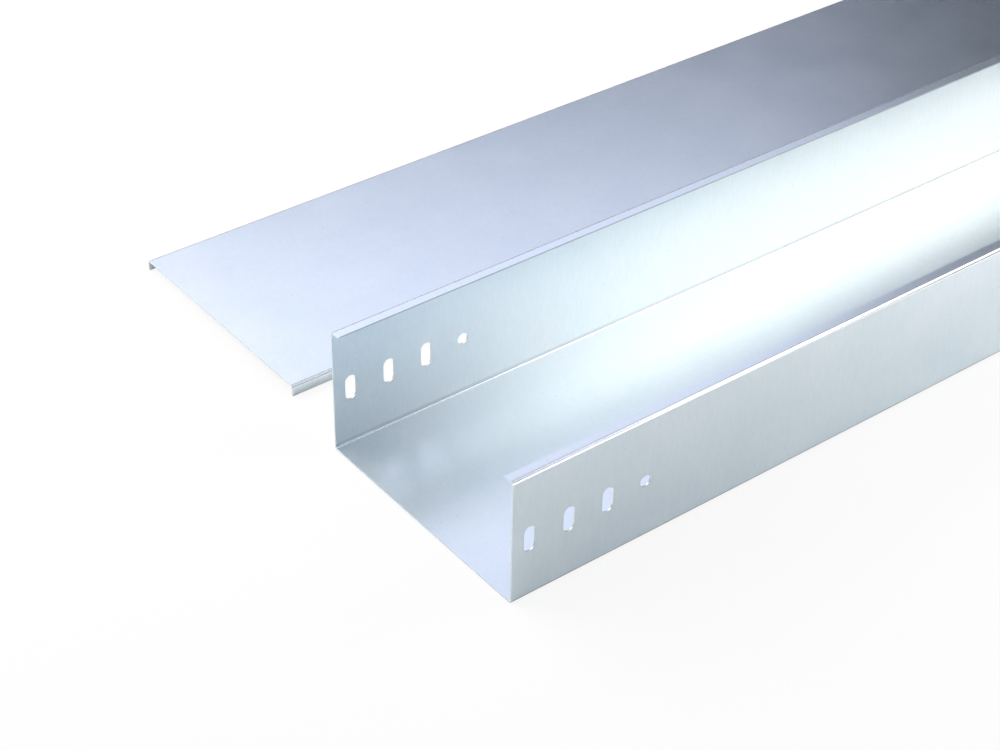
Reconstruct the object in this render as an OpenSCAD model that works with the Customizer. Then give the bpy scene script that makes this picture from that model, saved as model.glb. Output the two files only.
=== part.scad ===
// Cable trunking: a trough folded from zinc-coated steel sheet, with lips along its walls and splice holes
// at both ends, and its lid, lying flat on the floor beside it with the flanges down.
// X runs along the stock, Y from the front wall to the rear wall and on to the lid, and Z up from the floor.
// The origin is the middle of the trough's underside.

/* [Trough] */
// Length of the trough, and of the lid that covers it
stock_l = 2000; // [500:50:3000]
// Outside width across the side walls
trough_w = 200; // [100:5:400]
// Outside height of the side walls
trough_h = 100; // [80:5:200]
// Width of the lips turned in along the tops of the walls
lip_w = 9; // [5:0.5:20]

/* [Sheet] */
// Thickness of the sheet
sheet_t = 1.2; // [0.8:0.1:2]
// Inside radius of every fold
fold_r = 1.3; // [0.6:0.1:2.5]

/* [Splice holes] */
// Number of upright slots at each end of a wall
slot_count = 3; // [1:1:6]
// Width of a slot
slot_w = 9; // [6:0.5:12]
// Height of a slot
slot_h = 20; // [14:0.5:30]
// Diameter of the round hole that follows the slots
round_d = 9; // [6:0.5:12]
// Distance from the end of the trough to the middle of the first slot
end_margin = 14; // [8:0.5:30]
// Distance from the middle of one hole to the next
hole_step = 32; // [14:0.5:40]
// Height of the holes' middles above the underside
hole_z = 48; // [25:1:60]

/* [Lid] */
// Outside height of the lid and its flanges
lid_h = 9; // [6:0.5:20]
// Play between a wall of the trough and the lid's flange outside it
lid_play = 1; // [0.3:0.1:3]
// Clear floor between the trough's rear wall and the lid
lid_gap = 68; // [10:1:300]
// How far the lid's end lies past the trough's end
lid_shift = 9.5; // [-50:0.5:50]

/* [Hidden] */
$fn = 64;
zinc = "#c6d0db";
// Depth by which a cut runs out past the metal
past = 1;
fold_outside_r = fold_r + sheet_t;
mouth_w = trough_w - 2 * lip_w;
first_hole_x = stock_l / 2 - end_margin;
lid_w = trough_w + 2 * (lid_play + sheet_t);
lid_y = trough_w / 2 + lid_gap + lid_w / 2;

// Rectangle with round corners, centred on the first axis and standing on it
module round_cornered(w, h, r) {
  translate([-w / 2 + r, 0]) square([w - 2 * r, h]);
  translate([-w / 2, r]) square([w, h - 2 * r]);
  for (x = [r - w / 2, w / 2 - r], y = [r, h - r])
    translate([x, y]) circle(r);
}

// Sheet folded round all four sides of a rectangle
module folded_ring(w, h) {
  difference() {
    round_cornered(w, h, fold_outside_r);
    translate([0, sheet_t])
      round_cornered(w - 2 * sheet_t, h - 2 * sheet_t, fold_r);
  }
}

// The ring's top is open between the lips
module trough_section() {
  difference() {
    folded_ring(trough_w, trough_h);
    translate([-mouth_w / 2, trough_h / 2])
      square([mouth_w, trough_h / 2 + past]);
  }
}

// The top half of a ring twice as high as the lid
module lid_section() {
  translate([0, -lid_h])
    difference() {
      folded_ring(lid_w, 2 * lid_h);
      translate([-lid_w / 2 - past, -past])
        square([lid_w + 2 * past, lid_h + past]);
    }
}

// A section drawn in Y and Z, drawn out along X
module along_stock() {
  rotate([90, 0, 90])
    linear_extrude(stock_l, center = true) children();
}

module upright_slot() {
  straight = slot_h - slot_w;
  square([slot_w, straight], center = true);
  for (y = [-straight / 2, straight / 2])
    translate([0, y]) circle(d = slot_w);
}

// The row of holes at one end: the slots from the end inwards, then the round hole
module hole_row() {
  for (i = [0 : slot_count - 1])
    translate([first_hole_x - i * hole_step, 0]) upright_slot();
  translate([first_hole_x - slot_count * hole_step, 0]) circle(d = round_d);
}

// The rows at both ends, through both walls
module splice_holes() {
  translate([0, 0, hole_z]) rotate([90, 0, 0])
    linear_extrude(trough_w + 2 * past, center = true)
      for (end = [0, 1]) mirror([end, 0]) hole_row();
}

module trough() {
  color(zinc)
    difference() {
      along_stock() trough_section();
      splice_holes();
    }
}

module lid() {
  color(zinc)
    translate([lid_shift, lid_y, 0])
      along_stock() lid_section();
}

trough();
lid();
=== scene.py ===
"""Looks of the cable trunking: a folded trough and its lid, both of zinc-coated steel sheet, in a studio."""
import math

import bmesh
import bpy
from mathutils import Matrix, Vector


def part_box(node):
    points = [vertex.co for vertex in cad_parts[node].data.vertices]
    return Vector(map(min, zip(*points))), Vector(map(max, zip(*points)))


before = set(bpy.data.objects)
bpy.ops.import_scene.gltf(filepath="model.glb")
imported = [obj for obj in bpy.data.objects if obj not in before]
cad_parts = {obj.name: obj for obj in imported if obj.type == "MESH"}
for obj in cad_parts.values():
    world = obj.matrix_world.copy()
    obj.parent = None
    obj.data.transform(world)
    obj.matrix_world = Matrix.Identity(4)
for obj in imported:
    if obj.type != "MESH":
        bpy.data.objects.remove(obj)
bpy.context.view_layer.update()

MM = 0.001

# The camera, fitted to the photograph's frame of 1000 by 750 pixels
IMAGE_WIDTH_PX = 1000
FOCAL_LENGTH_PX = 2168.9
SENSOR_WIDTH_MM = 36.0
CAMERA_PLACE = Vector((-1641.9, -903.3, 941.6)) * MM
CAMERA_AZIMUTH = math.radians(38.11)
CAMERA_ELEVATION = math.radians(36.45)
CAMERA_ROLL = math.radians(0.91)
CAMERA_SIGHT_M = 100

# Sizes of the sheet and of the row of holes in the walls
SHEET_MM = 1.2
HOLE_Z_MM = 48.0
HOLE_REACH_MM = 10.5

# Sizes of the finish, and of the painted shade line in the crease
FLECK_WIDTH_MM = 1.6
FLECK_LENGTH_MM = 8.0
FLECK_DEPTH_MM = 0.004
CLOUD_SIZE_MM = 55.0
SPECK_SPACING_MM = 9.0
SPECK_RADIUS_MM = 0.45
WAVE_LENGTH_MM = 90.0
WAVE_DEPTH_MM = 0.15
CREASE_LINE_Z_MM = 3.7
CREASE_LINE_REACH_MM = 0.8

# Colours of the finish, and of the painted highlight and painted shade
ZINC_DULL = "#dfebf0"
ZINC_PALE = "#edf5f8"
FLECK_DULL = "#f0f2f3"
FLECK_PALE = "#ffffff"
SPECK_GREY = "#7d868d"
# Paler zinc on the folds: partly rubbed by the folding tool, partly a painted highlight
RUBBED_AND_HIGHLIT_ZINC = "#f4f8fa"
# Painted shade on the folds that face the floor
PAINTED_SHADE_UNDER_FOLDS = "#5f676d"
# Painted shade in the crease, on the walls' insides just above the base
PAINTED_CREASE_SHADE = "#9aa4ab"
SHEARED_STEEL = "#c0c6ca"

# How strongly the specks and the painted shade line in the crease show
SPECK_STRENGTH = 0.55
CREASE_SHADE_STRENGTH = 0.25

# Metal and roughness of the zinc, and what the marks add to the roughness
ZINC_METALLIC = 0.95
ROUGHNESS_LOW = 0.29
ROUGHNESS_HIGH = 0.33
CLOUD_ROUGHNESS = 0.06
RUBBED_ROUGHNESS = -0.13
SHEARED_ROUGHNESS = 0.2

# Limits on the parts of a face's normal, which tell the faces of the sheet apart
NEARLY_NONE = 0.3
FOLD_LEAN_START = 0.05
FOLD_LEAN_FULL = 0.35
DOWNWARD_FULL = -0.3
INWARD_LEAST = 0.8

# The studio
PAPER_WHITE = "#eeeeee"
ROOM_BLUE = "#0a2238"
FLOOR_REACH_M = 20
WHITE_SHARE_IN_CAMERA = 0.88
WHITE_SHARE_IN_METAL = 0.15

# Kind of node that works out a number, and the sockets of a Mix node that mixes colours
MATH = "ShaderNodeMath"
MIX_SHARE = 0
MIX_UNDER = 6
MIX_OVER = 7
MIX_RESULT = 2

# The trough's corner at the high ends of X, Y and Z
trough_high = Vector(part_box("trough")[1])


def linear(hex_colour):
    """An sRGB hex colour as the linear RGBA that a shader takes."""
    channels = [int(hex_colour[i:i + 2], 16) / 255 for i in (1, 3, 5)]
    return [c / 12.92 if c <= 0.04045 else ((c + 0.055) / 1.055) ** 2.4 for c in channels] + [1.0]


def add_node(tree, kind, inputs=None, **settings):
    """Adds a node: inputs are values or sockets to join, by name or number, and settings its properties."""
    node = tree.nodes.new(kind)
    for name, value in settings.items():
        setattr(node, name, value)
    for key, value in (inputs or {}).items():
        if isinstance(value, bpy.types.NodeSocket):
            tree.links.new(value, node.inputs[key])
        else:
            node.inputs[key].default_value = value
    return node


def new_material(name):
    """An empty material with its output node."""
    material = bpy.data.materials.new(name)
    material.use_nodes = True
    material.node_tree.nodes.clear()
    output = material.node_tree.nodes.new("ShaderNodeOutputMaterial")
    return material, material.node_tree, output


def sheared_edges(tree, spot, facing):
    """1 where the sheet's thickness shows: on the walls of the punched holes and the lips' slit edges."""
    in_sheet = add_node(tree, MATH, {0: facing.outputs["Y"], 1: 0.0, 2: NEARLY_NONE}, operation="COMPARE")
    hole_band = add_node(tree, MATH, {0: spot.outputs["Z"], 1: HOLE_Z_MM * MM, 2: HOLE_REACH_MM * MM},
                         operation="COMPARE")
    hole_wall = add_node(tree, MATH, {0: in_sheet.outputs[0], 1: hole_band.outputs[0]}, operation="MULTIPLY")
    upright = add_node(tree, MATH, {0: facing.outputs["Z"], 1: 0.0, 2: NEARLY_NONE}, operation="COMPARE")
    lip_band = add_node(tree, MATH, {0: spot.outputs["Z"], 1: trough_high.z, 2: SHEET_MM * MM},
                        operation="COMPARE")
    lip_edge = add_node(tree, MATH, {0: upright.outputs[0], 1: lip_band.outputs[0]}, operation="MULTIPLY")
    either = add_node(tree, MATH, {0: hole_wall.outputs[0], 1: lip_edge.outputs[0]}, operation="MAXIMUM")
    short_of_ends = add_node(tree, MATH, {0: spot.outputs["X"], 1: 0.0, 2: trough_high.x - SHEET_MM * MM},
                             operation="COMPARE")
    return add_node(tree, MATH, {0: either.outputs[0], 1: short_of_ends.outputs[0]}, operation="MULTIPLY")


def fold_middle_mask(tree, facing):
    """1 along the middles of the folds, which are the only faces that lean in Y and in Z at once."""
    lean = add_node(tree, MATH, {0: facing.outputs["Y"], 1: facing.outputs["Z"]}, operation="MULTIPLY")
    lean = add_node(tree, MATH, {0: lean.outputs[0]}, operation="ABSOLUTE")
    return add_node(tree, "ShaderNodeMapRange",
                    {"Value": lean.outputs[0], "From Min": FOLD_LEAN_START, "From Max": FOLD_LEAN_FULL})


def crease_shade_line(tree, spot, facing):
    """1 along a line on the insides of the trough's walls, just above the base, where a darker colour paints
    the shade in the crease.
    """
    line = add_node(tree, MATH, {0: spot.outputs["Z"], 1: CREASE_LINE_Z_MM * MM, 2: CREASE_LINE_REACH_MM * MM},
                    operation="COMPARE")
    # A wall's inside faces back to the trough's middle
    inward = add_node(tree, MATH, {0: spot.outputs["Y"], 1: facing.outputs["Y"]}, operation="MULTIPLY")
    inside = add_node(tree, MATH, {0: inward.outputs[0], 1: -INWARD_LEAST * trough_high.y},
                      operation="LESS_THAN")
    marked = add_node(tree, MATH, {0: line.outputs[0], 1: inside.outputs[0]}, operation="MULTIPLY")
    on_trough = add_node(tree, MATH, {0: spot.outputs["Y"], 1: 0.0, 2: trough_high.y}, operation="COMPARE")
    return add_node(tree, MATH, {0: marked.outputs[0], 1: on_trough.outputs[0]}, operation="MULTIPLY")


def painted_shade_under_folds(tree, facing, fold_middles):
    """1 on the folds that face the floor, which are painted dark as the shade beneath them."""
    downward = add_node(tree, "ShaderNodeMapRange",
                        {"Value": facing.outputs["Z"], "From Min": 0.0, "From Max": DOWNWARD_FULL})
    return add_node(tree, MATH, {0: fold_middles.outputs[0], 1: downward.outputs[0]}, operation="MULTIPLY")


def zinc_coated_steel():
    """Steel sheet, hot-dip zinc coated, skin-passed smooth and folded: a cool satin metal.

    The rolls leave faint upright flecks, and the zinc sets in soft cloudy patches with a few dark specks.
    The folds are paler, partly rubbed by the folding tool and partly a painted highlight, and a darker line
    on the walls' insides, just above the base, is painted shade in the crease.
    The undersides of the folds that face the floor are painted dark as the shade beneath them, and the
    punched and slit edges show bare steel.
    """
    material, tree, output = new_material("zinc_coated_steel_skin_passed")
    place = add_node(tree, "ShaderNodeTexCoord")
    spot = add_node(tree, "ShaderNodeSeparateXYZ", {0: place.outputs["Object"]})
    facing = add_node(tree, "ShaderNodeSeparateXYZ", {0: place.outputs["Normal"]})
    sheared = sheared_edges(tree, spot, facing)
    # Middles of the folds: their paler colour is partly rubbed wear and partly a painted highlight
    fold_middles = fold_middle_mask(tree, facing)
    # Painted shade on the folds that face the floor
    under_fold_shade = painted_shade_under_folds(tree, facing, fold_middles)
    # A darker line on the walls' insides just above the base is painted shade in the crease
    crease_line = crease_shade_line(tree, spot, facing)
    crease_shade = add_node(tree, MATH, {0: crease_line.outputs[0], 1: CREASE_SHADE_STRENGTH}, operation="MULTIPLY")

    # The flecks of the real sheet are finer than a pixel, so they are drawn coarser, to show
    slender = FLECK_WIDTH_MM / FLECK_LENGTH_MM
    drawn_out = add_node(tree, "ShaderNodeMapping",
                         {"Vector": place.outputs["Object"], "Scale": (1, slender, slender)})
    flecks = add_node(tree, "ShaderNodeTexNoise",
                      {"Vector": drawn_out.outputs[0], "Scale": 1 / (FLECK_WIDTH_MM * MM),
                       "Detail": 3, "Roughness": 0.6})
    clouds = add_node(tree, "ShaderNodeTexNoise",
                      {"Vector": place.outputs["Object"], "Scale": 1 / (CLOUD_SIZE_MM * MM),
                       "Detail": 4, "Roughness": 0.55})
    waves = add_node(tree, "ShaderNodeTexNoise",
                     {"Vector": place.outputs["Object"], "Scale": 1 / (WAVE_LENGTH_MM * MM), "Detail": 1})
    speck_spots = add_node(tree, "ShaderNodeTexVoronoi",
                           {"Vector": place.outputs["Object"], "Scale": 1 / (SPECK_SPACING_MM * MM)})
    speck_radius = SPECK_RADIUS_MM / SPECK_SPACING_MM
    specks = add_node(tree, "ShaderNodeMapRange",
                      {"Value": speck_spots.outputs["Distance"], "From Min": speck_radius / 2,
                       "From Max": speck_radius, "To Min": SPECK_STRENGTH, "To Max": 0.0})

    cloudy = add_node(tree, "ShaderNodeMix",
                      {MIX_SHARE: clouds.outputs[0], MIX_UNDER: linear(ZINC_DULL),
                       MIX_OVER: linear(ZINC_PALE)}, data_type="RGBA")
    flecked = add_node(tree, "ShaderNodeMix",
                       {MIX_SHARE: flecks.outputs[0], MIX_UNDER: linear(FLECK_DULL),
                        MIX_OVER: linear(FLECK_PALE)}, data_type="RGBA")
    colour = add_node(tree, "ShaderNodeMix",
                      {MIX_SHARE: 1.0, MIX_UNDER: cloudy.outputs[MIX_RESULT],
                       MIX_OVER: flecked.outputs[MIX_RESULT]}, data_type="RGBA", blend_type="MULTIPLY")
    # Each mark lies over those before it: the paler folds are partly rubbed wear and partly a painted
    # highlight, and the dark fold undersides and the crease line are painted shade
    marks = ((specks, SPECK_GREY), (fold_middles, RUBBED_AND_HIGHLIT_ZINC), (under_fold_shade, PAINTED_SHADE_UNDER_FOLDS), (crease_shade, PAINTED_CREASE_SHADE),
             (sheared, SHEARED_STEEL))
    for mark, mark_colour in marks:
        colour = add_node(tree, "ShaderNodeMix",
                          {MIX_SHARE: mark.outputs[0], MIX_UNDER: colour.outputs[MIX_RESULT],
                           MIX_OVER: linear(mark_colour)}, data_type="RGBA")

    rough = add_node(tree, "ShaderNodeMapRange",
                     {"Value": flecks.outputs[0], "From Min": 0.3, "From Max": 0.7,
                      "To Min": ROUGHNESS_LOW, "To Max": ROUGHNESS_HIGH})
    changes = ((clouds, CLOUD_ROUGHNESS), (fold_middles, RUBBED_ROUGHNESS), (sheared, SHEARED_ROUGHNESS))
    for mark, change in changes:
        rough = add_node(tree, MATH, {0: mark.outputs[0], 1: change, 2: rough.outputs[0]},
                         operation="MULTIPLY_ADD")
    bump = add_node(tree, "ShaderNodeBump",
                    {"Height": flecks.outputs[0], "Strength": 0.5, "Distance": FLECK_DEPTH_MM * MM})
    bump = add_node(tree, "ShaderNodeBump",
                    {"Height": waves.outputs[0], "Strength": 1.0, "Distance": WAVE_DEPTH_MM * MM,
                     "Normal": bump.outputs[0]})
    shader = add_node(tree, "ShaderNodeBsdfPrincipled",
                      {"Base Color": colour.outputs[MIX_RESULT], "Metallic": ZINC_METALLIC,
                       "Roughness": rough.outputs[0], "Normal": bump.outputs[0]})
    tree.links.new(shader.outputs["BSDF"], output.inputs["Surface"])
    return material


def studio_floor():
    """White paper on the floor: white to the camera, partly so to the metal, and it keeps the shadow."""
    material, tree, output = new_material("white_paper_unrolled")
    path = add_node(tree, "ShaderNodeLightPath")
    direct = add_node(tree, MATH, {0: path.outputs["Is Camera Ray"], 1: path.outputs["Is Transmission Ray"]},
                      operation="MAXIMUM")
    share = add_node(tree, MATH, {0: direct.outputs[0], 1: WHITE_SHARE_IN_CAMERA}, operation="MULTIPLY")
    share = add_node(tree, MATH,
                     {0: path.outputs["Is Glossy Ray"], 1: WHITE_SHARE_IN_METAL, 2: share.outputs[0]},
                     operation="MULTIPLY_ADD")
    paper = add_node(tree, "ShaderNodeBsdfDiffuse", {"Color": linear(PAPER_WHITE)})
    white = add_node(tree, "ShaderNodeEmission", {"Color": (1, 1, 1, 1), "Strength": 1.0})
    mix = add_node(tree, "ShaderNodeMixShader",
                   {0: share.outputs[0], 1: paper.outputs[0], 2: white.outputs[0]})
    tree.links.new(mix.outputs[0], output.inputs["Surface"])
    return material


def make_floor():
    """A level sheet of paper, large enough to fill every view."""
    shape = bmesh.new()
    bmesh.ops.create_grid(shape, x_segments=1, y_segments=1, size=FLOOR_REACH_M)
    mesh = bpy.data.meshes.new("floor")
    shape.to_mesh(mesh)
    shape.free()
    floor = bpy.data.objects.new("floor", mesh)
    mesh.materials.append(studio_floor())
    bpy.context.scene.collection.objects.link(floor)


def make_world():
    """A dim blue room, which the steel mirrors where no lamp stands."""
    world = bpy.data.worlds.new("studio")
    bpy.context.scene.world = world
    world.use_nodes = True
    background = world.node_tree.nodes["Background"]
    background.inputs["Color"].default_value = linear(ROOM_BLUE)
    background.inputs["Strength"].default_value = 1.0


def make_softbox(name, place, aim_x, width, height, colour, radiance):
    """An area lamp that faces the trough's rear wall half-way up, lit to a given radiance."""
    lamp = bpy.data.lights.new(name, "AREA")
    lamp.shape = "RECTANGLE"
    lamp.size = width
    lamp.size_y = height
    lamp.color = linear(colour)[:3]
    # A flat lamp that glows evenly gives out pi times its radiance times its area
    lamp.energy = radiance * math.pi * width * height
    softbox = bpy.data.objects.new(name, lamp)
    softbox.location = place
    away = Vector(place) - Vector((aim_x, trough_high.y, trough_high.z / 2))
    softbox.rotation_euler = away.to_track_quat("Z", "Y").to_euler()
    bpy.context.scene.collection.objects.link(softbox)


def make_camera():
    """The camera where the photograph was taken from."""
    camera = bpy.data.cameras.new("camera")
    camera.sensor_fit = "HORIZONTAL"
    camera.sensor_width = SENSOR_WIDTH_MM
    camera.lens = FOCAL_LENGTH_PX * SENSOR_WIDTH_MM / IMAGE_WIDTH_PX
    camera.clip_end = CAMERA_SIGHT_M
    holder = bpy.data.objects.new("camera", camera)
    turn = Matrix.Rotation(-CAMERA_AZIMUTH, 4, "Z")
    tilt = Matrix.Rotation(math.pi / 2 - CAMERA_ELEVATION, 4, "X")
    roll = Matrix.Rotation(CAMERA_ROLL, 4, "Z")
    holder.matrix_world = Matrix.Translation(CAMERA_PLACE) @ turn @ tilt @ roll
    bpy.context.scene.collection.objects.link(holder)
    bpy.context.scene.camera = holder


sheet_steel = zinc_coated_steel()
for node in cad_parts.values():
    for slot in node.material_slots:
        slot.material = sheet_steel

make_floor()
make_world()
# A lamp's place, the X that it is aimed at, its width and height, all in metres, its colour and its radiance
make_softbox("back_left_key", (-1.45, 1.45, 1.25), -0.75, 1.6, 1.1, "#fff4ea", 6.5)
make_softbox("back_left_high", (-1.75, 0.80, 1.85), -0.75, 2.2, 1.5, "#ffffff", 1.85)
make_softbox("back_softbox", (0.04, 1.53, 1.41), -1.0, 1.61, 0.9, "#e8e9ff", 1.58)
make_softbox("overhead_strip", (0.5, 0.0, 1.85), 0.5, 2.2, 1.3, "#ffffff", 0.8)
make_softbox("front_strip", (-0.45, -1.99, 0.45), -0.75, 2.0, 0.6, "#eef8ff", 4.8)
make_softbox("front_high", (-0.17, -0.72, 1.08), -0.75, 0.6, 0.5, "#dfe6ff", 1.1)
make_softbox("front_right_softbox", (0.88, -0.63, 1.04), 0.87, 1.9, 0.67, "#fff0e6", 4.3)
make_softbox("front_right_low", (-0.19, -0.66, 0.44), 0.59, 1.08, 0.61, "#ffffff", 0.9)
make_camera()
bpy.context.scene.view_settings.view_transform = "Standard"
